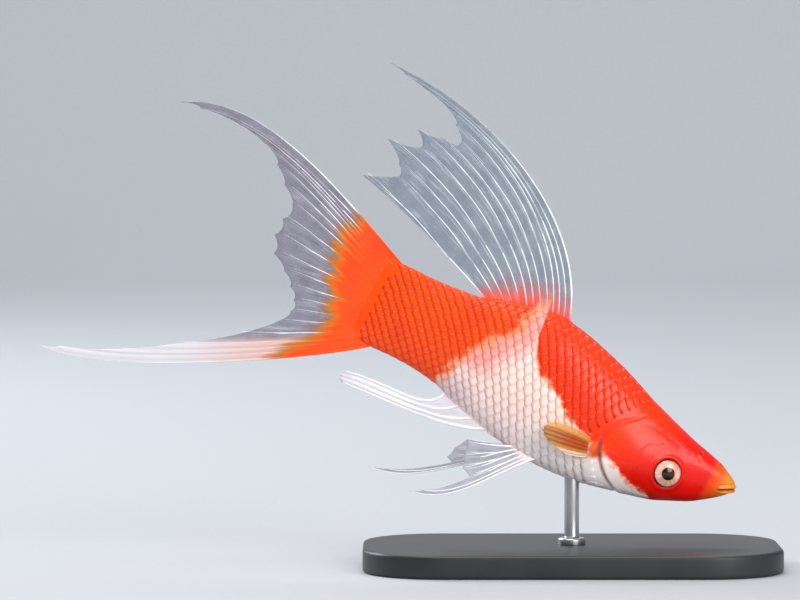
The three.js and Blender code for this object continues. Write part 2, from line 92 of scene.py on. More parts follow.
def body_sizes(u):
    """Top, bottom, half width, height of the widest place, and squareness above and below it."""
    return [smooth_through(SECTIONS[:, 0], column, u) for column in SECTIONS[:, 1:].T]


def ease(low, high, x):
    t = np.clip((np.asarray(x, float) - low) / (high - low), 0, 1)
    return t * t * (3 - 2 * t)


def sway(u):
    share = np.clip((np.asarray(u, float) - SWAY_START) / SWAY_LENGTH, 0, 1)
    return SWAY_REACH / 2 * (1 - np.cos(np.pi * share))


def in_place(u, w, v):
    """Points in the part's own frame, in metres, from millimetres along, across and above the fish's axis."""
    x, z = -np.asarray(u, float), np.asarray(v, float)
    y = np.asarray(w, float) + sway(u)
    return np.stack([
        SNOUT.x + MM * (x * math.cos(PITCH) + z * math.sin(PITCH)),
        SNOUT.y + MM * y,
        SNOUT.z + MM * (-x * math.sin(PITCH) + z * math.cos(PITCH)),
    ], -1)


def body_surface(u, angle, inward=1.0):
    """Width and height of the bare body's surface, before folds. The angle is 0 at the fish's left."""
    top, bottom, half, middle, above, below = body_sizes(u)
    c, s = np.cos(angle), np.sin(angle)
    power = 2 / np.where(s > 0, above, below)
    w = half * np.sign(c) * np.abs(c) ** power * inward
    reach = np.where(s > 0, top - middle, middle - bottom)
    return w, middle + reach * np.sign(s) * np.abs(s) ** power * inward


def line_distance(points, u, v):
    """Distance from a line of (u, v) points, less than 0 on its left as one walks along it."""
    best = np.full(np.shape(u), 1e9)
    side = np.ones(np.shape(u))
    for (u0, v0), (u1, v1) in zip(points[:-1], points[1:]):
        du, dv = u1 - u0, v1 - v0
        t = np.clip(((u - u0) * du + (v - v0) * dv) / (du * du + dv * dv), 0, 1)
        d = np.hypot(u - u0 - t * du, v - v0 - t * dv)
        turn = (u - u0) * dv - (v - v0) * du
        near = d < best
        side = np.where(near, np.sign(turn), side)
        best = np.where(near, d, best)
    return best * side


def curve_points(points, count):
    """Evenly shared points of a smooth curve through a few points."""
    points = np.asarray(points, float)
    along = np.r_[0, np.cumsum(np.linalg.norm(np.diff(points, axis=0), axis=1))]
    at = np.linspace(0, along[-1], count)
    return np.stack([smooth_through(along, points[:, k], at) for k in range(points.shape[1])], -1)


GILL_COVER = dict(u=14.6, v=-3.6, length=7.2, height=6.0, rise=0.4)
GILL_EDGE = curve_points([
    (14.6, 16), (14.8, 6), (17.2, 2.7), (19.9, 0.2), (21.0, -2.6), (20.2, -5.0), (18.2, -7.2), (15.4, -8.8),
    (13.2, -10.2), (12.6, -16),
], 60)
CHEEK_GROOVE = curve_points([(12.8, 1.0), (14.9, -1.0), (15.6, -3.6), (14.4, -6.0), (11.6, -7.0), (8.0, -6.2)], 40)
GILL_SEAM = curve_points([(15.6, -3.6), (17.6, -4.2), (19.8, -4.4)], 10)
EYE = dict(u=10.3, v=-2.8, radius=2.0)
MOUTH_SIDE = curve_points([(2.4, -1.75), (1.6, -1.3), (0.9, -0.92), (0.4, -0.66), (0.12, -0.5)], 34)
NOSTRILS = [(3.3, 1.35, 1.6, 0.36), (6.9, 2.35, 1.9, 0.26)]  # u, w, v, radius
DORSAL_BASE = (33.0, 45.2)
ANAL_BASE = (35.0, 45.0)
PECTORAL_ROOT = (21.2, 0, -4.6)


def gaussian(x, width):
    return np.exp(-((x / width) ** 2))


# Folds of the skin: (height, distance from their line or edge, softness)
GILL_SLIT, GILL_RIM = (-0.16, 0.28, 0.22), (0.05, -0.35, 0.25)
CHEEK_FOLD, GILL_FOLD, THROAT_FOLD = (-0.07, 0, 0.22), (-0.05, 0, 0.16), (-0.22, 0, 0.28)
EYE_RIM, EYE_SOCKET = (0.16, 0.38, 0.3), 0.75
NOSTRIL_RIM, NOSTRIL_HOLE = (0.09, 0.12, 0.14), 0.28
PORE, FIRST_PORE, PORE_STEP = (-0.07, 0, 0.16), (6.6, 1.0), (1.9, 0.28)
FIN_SHOULDER, SHOULDER_AT, SHOULDER_SIZE = (0.5, 0, 1.0), (21.7, -4.75), (0.75, 1.5)
FIN_RIDGE = (0.34, 0, 0.5)
UPPER_LIP, UPPER_CREASE = (0.2, 0.27, 0.19), (-0.08, 0.72, 0.15)
LOWER_LIP, LOWER_CREASE = (0.36, -0.33, 0.24), (-0.1, -0.85, 0.17)
MOUTH_SLIT = (-0.4, 0, 0.085)


def fold(distance, shape):
    height, at, softness = shape
    return height * gaussian(distance - at, softness)


def nostril_distances(u, w, v):
    """Distance from the middle of each nostril, and its radius."""
    for nu, nw, nv, radius in NOSTRILS:
        yield np.sqrt((u - nu) ** 2 + (np.abs(w) - nw) ** 2 + ((v - nv) * 0.7) ** 2), radius


def fold_height(u, w, v):
    """How far the skin stands off the bare body, in millimetres."""
    _, _, half, *_ = body_sizes(u)
    side_on = np.clip(np.abs(w) * 2 / np.maximum(half, 0.1), 0, 1)
    from_edge = -line_distance(GILL_EDGE, u, v)
    ahead = ease(0.12, -0.12, from_edge)
    d = np.hypot((u - GILL_COVER["u"]) / GILL_COVER["length"], (v - GILL_COVER["v"]) / GILL_COVER["height"])
    swelling = GILL_COVER["rise"] * np.where(d < 1, (1 - d * d) * (2 - d), 0)
    height = swelling * ahead * side_on
    low = ease(4.2, 1.4, v)
    height += (fold(from_edge, GILL_SLIT) + fold(from_edge, GILL_RIM)) * low
    height += fold(line_distance(CHEEK_GROOVE, u, v), CHEEK_FOLD) * side_on * low
    height += fold(line_distance(GILL_SEAM, u, v), GILL_FOLD) * side_on
    eye = np.hypot(u - EYE["u"], v - EYE["v"])
    height += fold(eye - EYE["radius"], EYE_RIM)
    height -= EYE_SOCKET * ease(EYE["radius"] + 0.12, EYE["radius"] - 0.25, eye)
    for hole, radius in nostril_distances(u, w, v):
        height += fold(hole - radius, NOSTRIL_RIM) - NOSTRIL_HOLE * ease(radius, radius * 0.4, hole)
    shoulder = np.hypot((u - SHOULDER_AT[0]) / SHOULDER_SIZE[0], (v - SHOULDER_AT[1]) / SHOULDER_SIZE[1])
    height += fold(shoulder, FIN_SHOULDER) * side_on
    for k in range(5):
        pore = np.hypot(u - FIRST_PORE[0] - PORE_STEP[0] * k, v - FIRST_PORE[1] - PORE_STEP[1] * k)
        height += fold(pore, PORE) * side_on
    throat = ease(3.2, 4.6, u) * ease(14.5, 12.5, u) * (v < 0)
    height += fold(np.abs(w), THROAT_FOLD) * throat
    # Low fleshy ridges that the dorsal and anal fins stand on
    for (start, end), up in ((DORSAL_BASE, 1), (ANAL_BASE, -1)):
        along = ease(start - 0.8, start + 0.8, u) * ease(end + 1.2, end - 0.6, u)
        height += fold(w, FIN_RIDGE) * along * (v * up > 0)
    return height


def flank_width(u, v):
    """Half of the bare body's width at a height."""
    top, bottom, half, middle, above, below = body_sizes(u)
    power = np.where(v > middle, above, below)
    reach = np.where(v > middle, top - middle, middle - bottom)
    return half * np.clip(1 - np.abs((v - middle) / reach) ** power, 0, 1) ** (1 / power)


# The mouth's line runs from its corner along the side of the snout and straight across the tip
TIP_DEPTH = 0.12  # the tip of the snout is domed by this much
mouth_sides = [(mu, float(flank_width(mu, mv)), mv) for mu, mv in MOUTH_SIDE]
TIP_WIDTH = mouth_sides[-1][1]
mouth_tip = [(TIP_DEPTH * s * s, TIP_WIDTH * s, -0.42 - 0.08 * s) for s in np.linspace(0.93, 0, 16)]
MOUTH_LINE = mouth_sides + mouth_tip


def nearest_mouth(u, w, v):
    """Distance from the mouth's line, height above its nearest point, and how far that is from the corner."""
    near = np.full(np.shape(u), 1e9)
    above = np.zeros(np.shape(u))
    corner = np.zeros(np.shape(u))
    for k, (mu, mw, mv) in enumerate(MOUTH_LINE):
        d = np.sqrt((u - mu) ** 2 + (np.abs(w) - mw) ** 2 + (v - mv) ** 2)
        closer = d < near
        above = np.where(closer, v - mv, above)
        corner = np.where(closer, ease(0, 10, k), corner)
        near = np.where(closer, d, near)
    return near, above, corner


def lip_height(u, w, v):
    near, above, corner = nearest_mouth(u, w, v)
    signed = near * np.sign(above)
    lips = sum(fold(signed, shape) for shape in (UPPER_LIP, UPPER_CREASE, LOWER_LIP, LOWER_CREASE))
    return lips * (0.15 + 0.85 * corner) + fold(near, MOUTH_SLIT) * (0.5 + 0.5 * corner)


def hollow_shade(u, w, v):
    """How much painted shade darkens the skin: 1 in the mouth's slit and in the nostrils, and half of that in the
    groove round the eye.
    """
    holes = ease(1.0, 0.5, np.min([hole / radius for hole, radius in nostril_distances(u, w, v)], 0))
    groove = 0.5 * gaussian(np.hypot(u - EYE["u"], v - EYE["v"]) - EYE["radius"] - 0.1, 0.14)
    return np.maximum(np.maximum(gaussian(nearest_mouth(u, w, v)[0], 0.15), holes), groove)


def new_object(name, bm, materials=()):
    mesh = bpy.data.meshes.new(name)
    bm.to_mesh(mesh)
    bm.free()
    piece = bpy.data.objects.new(name, mesh)
    bpy.context.scene.collection.objects.link(piece)
    for material in materials:
        mesh.materials.append(material)
    mesh.polygons.foreach_set("use_smooth", np.ones(len(mesh.polygons), bool))
    return piece


def set_places(bm, places):
    for vert, place in zip(bm.verts, places):
        vert.co = place


def grid_shares(bm):
    """Where each vertex of a fresh two-metre grid lies along and across it, from 0 to 1."""
    co = np.array([vert.co[:2] for vert in bm.verts])
    return (co[:, 0] + 1) / 2, (co[:, 1] + 1) / 2


def on_fish(places):
    """The reverse of in_place: how far back, across and up the fish each place is, in millimetres."""
    x, y, z = ((np.asarray(places, float) - SNOUT) / MM).T
    u = z * math.sin(PITCH) - x * math.cos(PITCH)
    return u, y - sway(u), x * math.sin(PITCH) + z * math.cos(PITCH)


# Rings of the skin lie closest on the lips and snout. The first ones dome the very tip.
TIP_RINGS = 16
ring_u = np.concatenate([
    TIP_DEPTH * np.linspace(0, 1, TIP_RINGS) ** 2, np.arange(TIP_DEPTH + 0.045, 0.5, 0.045),
    np.arange(0.5, 2.6, 0.07), np.arange(2.6, 6, 0.11), np.arange(6, 23, 0.145),
    np.arange(23, BODY_END - 0.2, 0.25), np.linspace(BODY_END - 0.2, BODY_END, 4),
])
ring_inward = np.ones(len(ring_u))
ring_inward[:TIP_RINGS] = np.linspace(0, 1, TIP_RINGS)
ring_inward[-4:] = np.linspace(1, 0, 4)
AROUND = 220

bm = bmesh.new()
bmesh.ops.create_grid(bm, x_segments=len(ring_u) - 1, y_segments=AROUND, size=1, calc_uvs=False)
along, across = grid_shares(bm)
ring = np.rint(along * (len(ring_u) - 1)).astype(int)
section_u = np.where(ring < TIP_RINGS, TIP_DEPTH, ring_u[ring])
w, v = body_surface(section_u, 2 * np.pi * across, ring_inward[ring])
set_places(bm, in_place(ring_u[ring], w, v))
bmesh.ops.remove_doubles(bm, verts=bm.verts, dist=1e-6)
bmesh.ops.recalc_face_normals(bm, faces=bm.faces)
bm.normal_update()

# Every fold is raised or sunk straight out of the bare body
COAT_DEPTH = 0.06  # the skin lies this much deeper where it carries scales
# Painted shade that the skin's colour takes from its vertices: in the mouth, nostrils and eye groove, and in the gill
# slit
recess_shade = bm.verts.layers.float.new("recess_shade")
slit = bm.verts.layers.float.new("slit")
bare = np.array([vert.co[:] for vert in bm.verts])
outward = np.array([vert.normal[:] for vert in bm.verts])
u, w, v = on_fish(bare)
from_edge = -line_distance(GILL_EDGE, u, v)
height = fold_height(u, w, v) + lip_height(u, w, v) - COAT_DEPTH * ease(0.3, 1.2, from_edge)
set_places(bm, bare + outward * height[:, None] * MM)
# Painted purple-brown shade in the lower part of the gill slit
slit_shade = gaussian(from_edge - 0.2, 0.3) * ease(-2.0, -3.6, v) * ease(-9.4, -7.6, v)
for vert, d, s in zip(bm.verts, hollow_shade(u, w, v), slit_shade):
    vert[recess_shade], vert[slit] = d, s
bmesh.ops.recalc_face_normals(bm, faces=bm.faces)


def ink(code):
    """A colour as the eye sees it, such as E61A0A, in the values that a material takes."""
    parts = [int(code[k : k + 2], 16) / 255 for k in (0, 2, 4)]
    return (*[c / 12.92 if c <= 0.04045 else ((c + 0.055) / 1.055) ** 2.4 for c in parts], 1)


class Bench:
    """Places and joins the nodes of one material or group."""

    def __init__(self, tree):
        self.tree = tree

    def node(self, kind, settings=None, **inputs):
        made = self.tree.nodes.new("ShaderNode" + kind)
        for name, value in (settings or {}).items():
            setattr(made, name, value)
        for name, value in inputs.items():
            socket = made.inputs[int(name[1:]) if name[0] == "_" and name[1:].isdigit() else name.replace("_", " ")]
            if isinstance(value, bpy.types.NodeSocket):
                self.tree.links.new(value, socket)
            else:
                socket.default_value = value
        return made

    def math(self, operation, a, b, clamp=False):
        return self.node("Math", {"operation": operation, "use_clamp": clamp}, _0=a, _1=b).outputs[0]

    def plus(self, a, b):
        return self.math("ADD", a, b)

    def times(self, a, b):
        return self.math("MULTIPLY", a, b)

    def between(self, value, low, high):
        """0 below low, 1 above high, eased between them."""
        eased = {"interpolation_type": "SMOOTHSTEP"}
        return self.node("MapRange", eased, Value=value, From_Min=low, From_Max=high).outputs[0]

    def painted(self, name):
        """A value that the mesh carries on its vertices."""
        return self.node("Attribute", {"attribute_name": name}).outputs["Fac"]

    def spread(self, value, low, high):
        """A value from 0 to 1, stretched to run from low to high."""
        return self.node("MapRange", Value=value, To_Min=low, To_Max=high).outputs[0]

    def noise(self, where, scale, detail, roughness=0.5):
        return self.node("TexNoise", Vector=where, Scale=scale, Detail=detail, Roughness=roughness).outputs[0]

    def bump(self, height, strength, distance):
        return self.node("Bump", Height=height, Strength=strength, Distance=distance).outputs[0]

    def feed(self, node, **outputs):
        """Joins outputs to the sockets of a node by their names."""
        for name, output in outputs.items():
            self.tree.links.new(output, node.inputs[name.replace("_", " ")])

    def mix(self, share, a, b, blend="MIX"):
        return self.node("Mix", {"data_type": "RGBA", "blend_type": blend}, _0=share, _6=a, _7=b).outputs[2]

    def ramp(self, value, low, high, *codes):
        """One colour at low, another at high."""
        return self.mix(self.between(value, low, high), *map(ink, codes))

    def tint(self, colour, code, mask, strength=1.0, blend="MIX"):
        """The colour, turned towards another where the mask is 1."""
        share = self.times(mask, strength) if strength < 1 else mask
        return self.mix(share, colour, ink(code), blend)

    def curve(self, value, low, high, out_low, out_high, points):
        """A drawn curve from value to a height, both in millimetres."""
        share = self.node("MapRange", Value=value, From_Min=low, From_Max=high)
        drawn = self.node("FloatCurve", Value=share.outputs[0])
        line = drawn.mapping.curves[0]
        ends = [((x - low) / (high - low), (y - out_low) / (out_high - out_low)) for x, y in points]
        line.points[0].location = ends[0]
        line.points[1].location = ends[-1]
        for x, y in ends[1:-1]:
            line.points.new(x, y)
        drawn.mapping.update()
        return self.spread(drawn.outputs[0], out_low, out_high)


def new_group(name, inputs, outputs):
    tree = bpy.data.node_groups.new(name, "ShaderNodeTree")
    for label, kind in inputs:
        tree.interface.new_socket(name=label, in_out="INPUT", socket_type="NodeSocket" + kind)
    for label, kind in outputs:
        tree.interface.new_socket(name=label, in_out="OUTPUT", socket_type="NodeSocket" + kind)
    return tree, Bench(tree), tree.nodes.new("NodeGroupInput").outputs, tree.nodes.new("NodeGroupOutput")


def place_on_fish(bench, here):
    """How far back, across and up the fish a point of the surface lies, in millimetres."""
    turned = {"vector_type": "TEXTURE"}
    place = bench.node("Mapping", turned, Vector=here, Location=SNOUT, Rotation=(0, PITCH, 0), Scale=(-MM, MM, MM))
    return place.outputs[0]


# Markings that skin, scales and fin roots share: where red back, white patch and orange tail meet
markings, bench, given, result = new_group(
    "swordtail markings", [("Place", "Vector")], [("Colour", "Color"), ("White", "Float")]
)
fish_place = place_on_fish(bench, given["Place"])
parts = bench.node("SeparateXYZ", Vector=fish_place).outputs
shift = bench.spread(bench.noise(fish_place, 0.45, 4.0, 0.6), -2.5, 2.5)
fine = bench.spread(bench.noise(fish_place, 1.3, 3.0), -0.75, 0.75)
mark_u = bench.plus(parts[0], shift)
mark_v = bench.plus(parts[2], bench.times(shift, 0.6))
high = bench.plus(parts[2], fine)
red_border = bench.curve(parts[0], 0, 60, -14, 14, [
    (0, -10), (9.5, -8.9), (11.6, -7.3), (14.4, -6.8), (16.6, -6.0), (18.5, -4.8), (20.5, -4.0), (22.6, -3.8),
    (25.3, -2.9), (28.4, -1.2), (30.2, 0.3), (33.2, 1.5), (35.2, 3.6), (36.4, 6.6), (37.2, 13), (60, 13.5),
])
below = bench.math("SUBTRACT", red_border, bench.plus(mark_v, fine))
orange_border = bench.curve(parts[2], -12, 12, 30, 50, [
    (-12, 47.6), (-6.9, 46.6), (-4.2, 45.8), (0.3, 43.8), (3.2, 41.8), (5.2, 39.7), (8.1, 38.7), (12, 37.5),
])
ahead = bench.math("SUBTRACT", orange_border, bench.plus(mark_u, fine))
white = bench.times(bench.between(below, -0.7, 0.9), bench.between(ahead, -1.6, 1.8))
# The red back, more orange towards the tail, with an orange snout
nape = bench.plus(parts[0], bench.times(parts[2], 0.7))
back = bench.ramp(nape, 9, 19, "DE1004", "F23200")
back = bench.tint(back, "F44800", bench.between(parts[0], 32, 44))
back = bench.tint(back, "F64204", bench.between(high, 4.5, 9.5), 0.45)
back = bench.tint(back, "D01C06", bench.between(bench.noise(fish_place, 0.18, 2.0), 0.5, 0.75), 0.3)
lip = bench.ramp(parts[0], 3.2, 1.4, "EC5010", "DD8420")
snout = bench.between(bench.plus(parts[0], bench.times(fine, 0.5)), 4.8, 3.2)
back = bench.mix(snout, back, lip)
jaw = bench.times(bench.between(parts[0], 11, 8), bench.between(parts[2], -5.2, -7.2))
back = bench.tint(back, "F0482C", jaw, 0.5)
# The white patch, rosy under the orange, with a peach edge
cream = bench.ramp(parts[2], -9, -3, "F7EFEE", "FFE2D2")
cream = bench.tint(cream, "F6D2CE", bench.between(parts[0], 29, 34), 0.5)
rosy = bench.times(bench.between(ahead, 6.5, 2.0), bench.between(parts[2], -4.2, -0.6))
cream = bench.tint(cream, "F8938A", rosy, 0.9)
dusk = bench.times(bench.between(parts[0], 39, 44), bench.between(parts[2], -2.5, -6))
cream = bench.tint(cream, "D3BCC4", dusk, 0.6)
peach = bench.mix(0.45, bench.mix(0.5, back, cream), ink("FBA04E"))
patch = bench.mix(bench.between(white, 0.02, 0.5), back, peach)
patch = bench.mix(bench.between(white, 0.45, 0.98), patch, cream)
# An orange spot round the root of the pectoral fin
flat = bench.node("VectorMath", {"operation": "MULTIPLY"}, _0=fish_place, _1=(1, 0, 1)).outputs[0]
from_root = bench.node("VectorMath", {"operation": "DISTANCE"}, _0=flat, _1=PECTORAL_ROOT).outputs["Value"]
patch = bench.tint(patch, "E65A1C", bench.between(bench.plus(from_root, fine), 2.0, 0.6))
bench.feed(result, Colour=patch, White=white)


def new_material(name):
    material = bpy.data.materials.new(name)
    material.use_nodes = True
    bench = Bench(material.node_tree)
    return material, bench, material.node_tree.nodes["Principled BSDF"]


def wet(shader, roughness=0.32, coat=0.2, coat_roughness=0.1):
    shader.inputs["Roughness"].default_value = roughness
    shader.inputs["Coat Weight"].default_value = coat
    shader.inputs["Coat Roughness"].default_value = coat_roughness
    shader.inputs["Coat IOR"].default_value = 1.4
    shader.inputs["Specular IOR Level"].default_value = 0.28


def marked_skin(name, grain_scale, grain_depth):
    """Wet skin with the markings. Its colour is given back unjoined, for the piece to finish."""
    material, bench, shader = new_material(name)
    here = bench.node("TexCoord").outputs["Object"]
    marks = bench.node("Group", {"node_tree": markings}, Place=here).outputs
    on_skin = place_on_fish(bench, here)
    grain = bench.noise(on_skin, grain_scale, 3.0)
    mottle = bench.noise(on_skin, 1.1, 5.0, 0.65)
    pearly = bench.plus(bench.times(marks["White"], 0.22), 0.2)
    wet(shader)
    shader.inputs["Subsurface Weight"].default_value = 0.12
    shader.inputs["Subsurface Radius"].default_value = (0.6, 0.25, 0.15)
    shader.inputs["Subsurface Scale"].default_value = 0.0012
    bench.feed(
        shader, Roughness=bench.spread(mottle, 0.22, 0.38), Coat_Weight=pearly,
        Normal=bench.bump(grain, 0.35, grain_depth),
    )
    return material, bench, shader, bench.mix(1.0, marks["Colour"], bench.spread(mottle, 0.86, 1.12), "MULTIPLY")


skin_finish, bench, shader, colour = marked_skin("wet skin", 9.0, 0.00005)
# Painted shade: the mouth's slit, the nostrils and the groove round the eye are turned dark red-brown
colour = bench.tint(colour, "3A0C08", bench.painted("recess_shade"), 0.8)
# Painted shade: the gill slit is turned purple-brown
bench.feed(shader, Base_Color=bench.tint(colour, "6E2E3C", bench.painted("slit"), 0.75))
skin = new_object("skin", bm, [skin_finish])
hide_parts("head", "trunk", "tail_stalk")
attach(skin, "root")


# The scales: thin flakes of bone under a clear skin, in staggered rows that lap backwards like roof tiles.
# They are cast with the skin and take its colours. Each has a fine darker free edge.
SCALE_ROWS = 18  # between the ridge of the back and the keel, on each side
SCALE_SPACING = 1.4  # along a row
SCALE_LENGTH = 2.7
SCALE_OVERLAP = 2.3  # a scale's width, in rows
SCALE_THICKNESS = 0.024
SCALE_VARIES = 0.05  # the share by which their lengths, widths and places differ
SCALE_CELLS = 4
POINTED = 1.35  # 2 is a round scale, 1 a diamond
ROOT_SUNK = 0.035  # how deep a root lies in the skin
FIRST_SCALE, BARE_END = 14, 1.2  # the first root's place, and the bare length before the tail fin
GILL_CLEARANCE = 0.5
PATCH_REACH = 0.0015  # half the size of a scale's patch of the baked texture

shape_u = np.linspace(10, BODY_END, 90)
shape_angle = np.linspace(np.pi / 2, -np.pi / 2, 181)
shape_w, shape_v = body_surface(shape_u[:, None], shape_angle[None, :])
shape_run = np.cumsum(np.hypot(np.diff(shape_w, axis=1), np.diff(shape_v, axis=1)), axis=1)
shape_run = np.concatenate([np.zeros((len(shape_u), 1)), shape_run], axis=1)
share_grid = np.linspace(0, 1, 101)
angle_grid = np.array([np.interp(share_grid, run / run[-1], shape_angle) for run in shape_run])


def flank_angle(u, share):
    """The angle at a share of the way down the flank, from 0 at the ridge of the back to 1 at the keel."""
    i = np.clip((u - shape_u[0]) / (shape_u[1] - shape_u[0]), 0, len(shape_u) - 1.001)
    j = np.clip(share * (len(share_grid) - 1), 0, len(share_grid) - 1 - 1e-9)
    i0, j0 = i.astype(int), j.astype(int)
    fi, fj = i - i0, j - j0
    rows = [angle_grid[i0 + k, j0] * (1 - fj) + angle_grid[i0 + k, j0 + 1] * fj for k in (0, 1)]
    return rows[0] * (1 - fi) + rows[1] * fi


bm = bmesh.new()
baked_on = bm.loops.layers.uv.new("OFBake")
margin = bm.verts.layers.float.new("margin")
first = bmesh.ops.create_grid(bm, x_segments=SCALE_CELLS, y_segments=SCALE_CELLS, size=1)["verts"]
square = np.array([vert.co[:2] for vert in first])
bmesh.ops.delete(bm, geom=first, context="VERTS")
disc = np.stack([
    square[:, 0] * np.sqrt(1 - square[:, 1] ** 2 / 2), square[:, 1] * np.sqrt(1 - square[:, 0] ** 2 / 2),
], -1)
from_middle = np.hypot(*disc.T)
pointed = np.maximum(from_middle, 1e-9) / (np.abs(disc) ** POINTED).sum(1).clip(1e-12) ** (1 / POINTED)
disc *= pointed[:, None].clip(0, 1)
lift = (COAT_DEPTH + ROOT_SUNK) * (((disc[:, 0] + 1) / 2) ** 0.9 * (1 - 0.12 * disc[:, 1] ** 2) - 1)
uneven = np.random.default_rng(12)

for side in (-1, 1):
    # The rows on the ridge and the keel are made once, from the left
    for row in range(SCALE_ROWS + 1) if side > 0 else range(1, SCALE_ROWS):
        root_share = row / SCALE_ROWS
        for step in range(int((BODY_END - FIRST_SCALE) / SCALE_SPACING)):
            root_u = FIRST_SCALE + SCALE_SPACING * (step + 0.5 * (row % 2))
            longer, wider, slid = 1 + SCALE_VARIES * uneven.uniform(-1, 1, 3)
            scale_u = root_u + (slid - 1) + disc[:, 0] * longer * SCALE_LENGTH / 2
            scale_share = root_share + disc[:, 1] * wider * SCALE_OVERLAP / SCALE_ROWS / 2
            # What reaches over the ridge or the keel folds down on the other flank
            over = np.where((scale_share < 0) | (scale_share > 1), -1, 1)
            folded = 1 - np.abs(1 - np.abs(scale_share))
            scale_w, scale_v = body_surface(scale_u, flank_angle(scale_u, folded))
            behind_gill = np.max(line_distance(GILL_EDGE, scale_u, scale_v)) <= -GILL_CLEARANCE
            if not behind_gill or np.max(scale_u) > BODY_END - BARE_END:
                continue
            scale_w = scale_w * side * over
            top, bottom, half, middle, _, _ = body_sizes(scale_u)
            out_w = scale_w / np.maximum(half, 0.5) ** 2
            out_v = (scale_v - middle) / np.maximum(np.where(scale_v > middle, top, -bottom), 0.5) ** 2
            length = np.maximum(np.hypot(out_w, out_v), 1e-6)
            grown = lift + fold_height(scale_u, scale_w, scale_v) * 0.9
            places = in_place(scale_u, scale_w + out_w / length * grown, scale_v + out_v / length * grown)
            verts = bmesh.ops.create_grid(bm, x_segments=SCALE_CELLS, y_segments=SCALE_CELLS, size=1)["verts"]
            flats = {}
            for vert, place, at, far in zip(verts, places, disc, from_middle):
                vert.co = place
                vert[margin] = far if at[0] > -0.2 else 0
                flats[vert] = at
            centre = np.array([root_u / BODY_END, 0.5 + side * root_share * 0.49])
            for face in {face for vert in verts for face in vert.link_faces}:
                for loop in face.loops:
                    loop[baked_on].uv = centre + PATCH_REACH * flats[loop.vert]
bmesh.ops.recalc_face_normals(bm, faces=bm.faces)
# Face each flake away from the fish's axis
middles = np.array([face.calc_center_median()[:] for face in bm.faces])
u, _, _ = on_fish(middles)
for face, out in zip(bm.faces, middles - in_place(u, 0 * u, body_sizes(u)[3])):
    if face.normal.dot(Vector(out)) < 0:
        face.normal_flip()
scale_finish, bench, shader, colour = marked_skin("scale bone", 14.0, 0.00003)
edge = bench.between(bench.painted("margin"), 0.5, 1.0)
bench.feed(shader, Base_Color=bench.tint(colour, "C48A7C", edge, 0.42, "MULTIPLY"))
scales = new_object("scales", bm, [scale_finish])
thick = scales.modifiers.new("scale thickness", "SOLIDIFY")
thick.thickness = SCALE_THICKNESS * MM
thick.offset = -1
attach(scales, "root")


# The eyes: flattened glassy balls seated in the sockets, with a silvery pink iris and a black pupil.
# Each is blown with a slight dome over the pupil, painted behind and clear lacquered.
EYE_OUT = 3.85  # from the middle of the head to the ball's centre
EYE_RADIUS, EYE_DEPTH, EYE_TURN = 2.08, 1.1, 0.16
DOME_RISE, DOME_RADIUS = 0.13, 1.25
IRIS_DISH = (-0.05, 1.5, 0.3)
PUPIL, IRIS = 0.98, 1.92
for side, name in ((1, "eye_left"), (-1, "eye_right")):
    bm = bmesh.new()
    bmesh.ops.create_uvsphere(bm, u_segments=72, v_segments=48, radius=1)
    ball = np.array([vert.co[:] for vert in bm.verts])
    out = np.hypot(ball[:, 0], ball[:, 1])
    dome = DOME_RISE * np.clip(1 - (out * EYE_RADIUS / DOME_RADIUS) ** 2, 0, 1) ** 2
    depth = ball[:, 2] * EYE_DEPTH + (dome + fold(out * EYE_RADIUS, IRIS_DISH)) * (ball[:, 2] > 0)
    u = EYE["u"] + ball[:, 0] * EYE_RADIUS - depth * math.sin(EYE_TURN)
    w = side * (EYE_OUT + depth * math.cos(EYE_TURN) + ball[:, 0] * EYE_RADIUS * math.sin(EYE_TURN))
    set_places(bm, in_place(u, w, EYE["v"] + ball[:, 1] * EYE_RADIUS))
    bmesh.ops.recalc_face_normals(bm, faces=bm.faces)
    glass, bench, shader = new_material(name.replace("_", " ") + " glass")
    placed = bench.node(
        "Mapping", {"vector_type": "TEXTURE"}, Vector=bench.node("TexCoord").outputs["Object"],
        Location=in_place(EYE["u"] - math.sin(EYE_TURN) * EYE_DEPTH, 0, EYE["v"]), Rotation=(0, PITCH, 0),
        Scale=(MM, MM, MM),
    ).outputs[0]
    parts = bench.node("SeparateXYZ", Vector=placed).outputs
    flat = bench.node("VectorMath", {"operation": "MULTIPLY"}, _0=placed, _1=(1, 0, 1)).outputs[0]
    far = bench.node("VectorMath", {"operation": "LENGTH"}, _0=flat).outputs["Value"]
    ray = bench.node("VectorMath", {"operation": "NORMALIZE"}, _0=flat).outputs[0]
    iris = bench.ramp(bench.noise(ray, 9.0, 6.0, 0.7), 0.35, 0.68, "F0AC96", "FFE9DC")
    iris = bench.tint(iris, "C98A86", bench.between(bench.noise(placed, 1.6, 4.0), 0.5, 0.72), 0.5)
    # Painted shade: the top of the iris is turned red-brown
    iris = bench.tint(iris, "B8432C", bench.between(parts[2], 0.9, 1.9), 0.55)
    iris = bench.tint(iris, "EBAE62", bench.between(far, PUPIL + 0.22, PUPIL + 0.08))
    glint = bench.ramp(bench.plus(parts[0], parts[2]), -0.7, 0.5, "0A0304", "3A0A08")
    colour = bench.mix(bench.between(far, PUPIL + 0.05, PUPIL - 0.05), iris, glint)
    colour = bench.tint(colour, "4A0F0A", bench.between(far, IRIS - 0.05, IRIS + 0.1))
    metal = bench.times(bench.between(far, PUPIL, PUPIL + 0.15), 0.35)
    bench.feed(shader, Base_Color=colour, Metallic=metal)
    wet(shader, 0.22, 1.0, 0.02)
    eye = new_object(name + "_glass", bm, [glass])
    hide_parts(name)
    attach(eye, "root")


